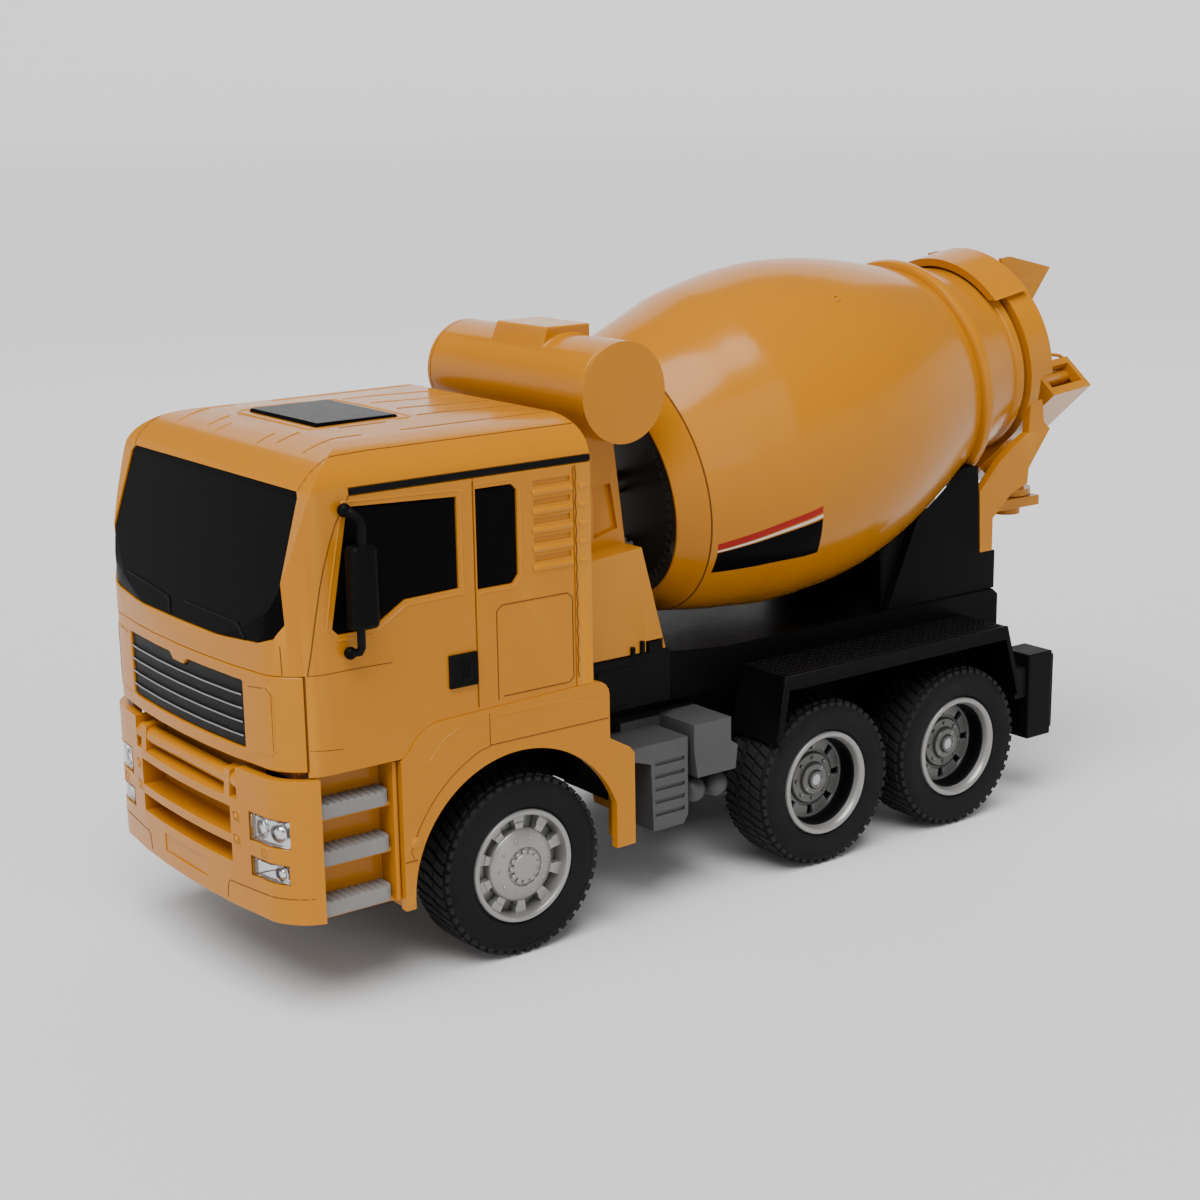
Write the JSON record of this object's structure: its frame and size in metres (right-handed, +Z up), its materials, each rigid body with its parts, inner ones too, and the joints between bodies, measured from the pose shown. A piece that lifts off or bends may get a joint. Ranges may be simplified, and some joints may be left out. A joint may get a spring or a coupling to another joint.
{
  "type": "toy cement mixer truck",
  "caption": "Toy three-axle cement mixer truck with a turning drum, steered front wheels, rolling wheels and a swinging discharge chute.",
  "frame": {"origin": "on the ground at the middle of the footprint", "axes": "+X towards the cab and the front bumper, +Y to the truck's left, +Z up"},
  "size_m": [0.4004, 0.1428, 0.2118],
  "materials": {
    "yellow_plastic": "glossy moulded ABS in warm yellow-orange",
    "black_plastic": "satin black moulded plastic",
    "gloss_black": "gloss black painted or moulded window panels",
    "dark_grey_plastic": "satin dark grey moulded plastic",
    "mid_grey_plastic": "satin mid grey textured plastic",
    "silver_plastic": "satin silver painted plastic",
    "tyre_rubber": "soft black rubber with moulded tread",
    "steel": "plain steel pins, rods and screws",
    "cell_metal": "metal cell cases",
    "board_green": "green circuit board",
    "white_nylon": "white nylon gears",
    "clear_lens": "clear lamp lenses",
    "mirror_chrome": "vacuum-plated lamp reflectors"
  },
  "bodies": {
    "truck": {"chassis_tray": "black_plastic", "front_subframe": "black_plastic", "battery_cover": "black_plastic", "battery_cells": "cell_metal", "circuit_board": "board_green", "mid_axle_carrier": "black_plastic", "rear_gearbox": "black_plastic", "drive_motor": "steel", "steering_servo": "dark_grey_plastic", "kingpins": "steel", "cab_body": "yellow_plastic", "cab_front_panel": "yellow_plastic", "cab_roof": "yellow_plastic", "windshield": "gloss_black", "side_windows": "gloss_black", "side_trim": "black_plastic", "roof_hatch": "gloss_black", "grille": "black_plastic", "mirrors": "black_plastic", "front_bumper": "yellow_plastic", "headlamp_lenses": "clear_lens", "headlamp_reflectors": "mirror_chrome", "step_wells": "yellow_plastic", "step_treads": "mid_grey_plastic", "front_fenders": "yellow_plastic", "chassis_screws": "steel", "water_tank": "yellow_plastic", "tank_caps": "yellow_plastic", "front_pedestal": "yellow_plastic", "drum_motor": "dark_grey_plastic", "drum_spindle": "steel", "rear_deck": "black_plastic", "rear_fenders": "black_plastic", "tail_lamps": "black_plastic", "rear_pedestal": "black_plastic", "mouth_collar": "yellow_plastic", "hopper": "yellow_plastic", "side_boxes": "dark_grey_plastic"},
    "drum": {"drum_flange": "yellow_plastic", "ring_gear": "black_plastic", "drum_shell": "yellow_plastic"},
    "drum_drive": {"drum_pinion": "white_nylon"},
    "steering_left": {"knuckle_left": "black_plastic"},
    "steering_right": {"knuckle_right": "black_plastic"},
    "front_wheel_left": {"front_tyre_left": "tyre_rubber", "front_rim_left": "silver_plastic"},
    "front_wheel_right": {"front_tyre_right": "tyre_rubber", "front_rim_right": "silver_plastic"},
    "middle_axle": {"mid_axle_shaft": "steel", "mid_tyres": "tyre_rubber", "mid_rims": "silver_plastic"},
    "rear_axle": {"rear_axle_shaft": "steel", "rear_tyres": "tyre_rubber", "rear_rims": "silver_plastic", "rear_axle_gear": "white_nylon"},
    "wheel_drive": {"drive_pinion": "white_nylon"},
    "steering_bar": {"tie_rod": "black_plastic"},
    "steering_lever": {"servo_arm": "white_nylon"},
    "swing_chute": {"chute": "yellow_plastic"},
    "switch_knob": {"power_switch": "black_plastic"}
  },
  "joints": [
    {"name": "drum_spin", "type": "hinge", "parent": "truck", "child": "drum", "pos_m": [-0.04854, 0, 0.15049], "axis": [-0.9851, 0, 0.1719], "continuous": true},
    {"name": "drum_pinion_spin", "type": "hinge", "parent": "truck", "child": "drum_drive", "pos_m": [0.02532, 0, 0.10837], "axis": [-0.9851, 0, 0.1719], "continuous": true},
    {"name": "steer_left", "type": "hinge", "parent": "truck", "child": "steering_left", "pos_m": [0.10997, 0.031, 0.0305], "axis": [0, 0, 1], "range_deg": [-20, 20]},
    {"name": "steer_right", "type": "hinge", "parent": "truck", "child": "steering_right", "pos_m": [0.10997, -0.031, 0.0305], "axis": [0, 0, 1], "range_deg": [-20, 20]},
    {"name": "tie_rod_slide", "type": "slide", "parent": "truck", "child": "steering_bar", "axis": [0, 1, 0], "range_m": [-0.0056, 0.0056]},
    {"name": "servo_lever_turn", "type": "hinge", "parent": "truck", "child": "steering_lever", "pos_m": [0.07997, 0, 0.045], "axis": [0, 0, 1], "range_deg": [-21, 21]},
    {"name": "front_wheel_left_spin", "type": "hinge", "parent": "steering_left", "child": "front_wheel_left", "pos_m": [0.10997, 0.05, 0.0305], "axis": [0, 1, 0], "continuous": true},
    {"name": "front_wheel_right_spin", "type": "hinge", "parent": "steering_right", "child": "front_wheel_right", "pos_m": [0.10997, -0.05, 0.0305], "axis": [0, 1, 0], "continuous": true},
    {"name": "middle_axle_spin", "type": "hinge", "parent": "truck", "child": "middle_axle", "pos_m": [-0.02203, 0, 0.0305], "axis": [0, 1, 0], "continuous": true},
    {"name": "rear_axle_spin", "type": "hinge", "parent": "truck", "child": "rear_axle", "pos_m": [-0.08903, 0, 0.0305], "axis": [0, 1, 0], "continuous": true},
    {"name": "drive_pinion_spin", "type": "hinge", "parent": "truck", "child": "wheel_drive", "pos_m": [-0.07543, 0, 0.0305], "axis": [0, 1, 0], "continuous": true},
    {"name": "chute_swing", "type": "hinge", "parent": "truck", "child": "swing_chute", "pos_m": [-0.17603, 0, 0.108], "axis": [0, 0, 1], "range_deg": [-6, 154]},
    {"name": "power_switch_slide", "type": "slide", "parent": "truck", "child": "switch_knob", "axis": [0, 1, 0], "range_m": [0, 0.004]}
  ],
  "couplings": [
    {"joint": "drum_pinion_spin", "follows": "drum_spin", "ratio": 5},
    {"joint": "steer_right", "follows": "steer_left", "ratio": 1},
    {"joint": "tie_rod_slide", "follows": "steer_left", "m_per_rad": -0.015},
    {"joint": "servo_lever_turn", "follows": "steer_left", "ratio": -1},
    {"joint": "drive_pinion_spin", "follows": "rear_axle_spin", "ratio": -2.4}
  ]
}
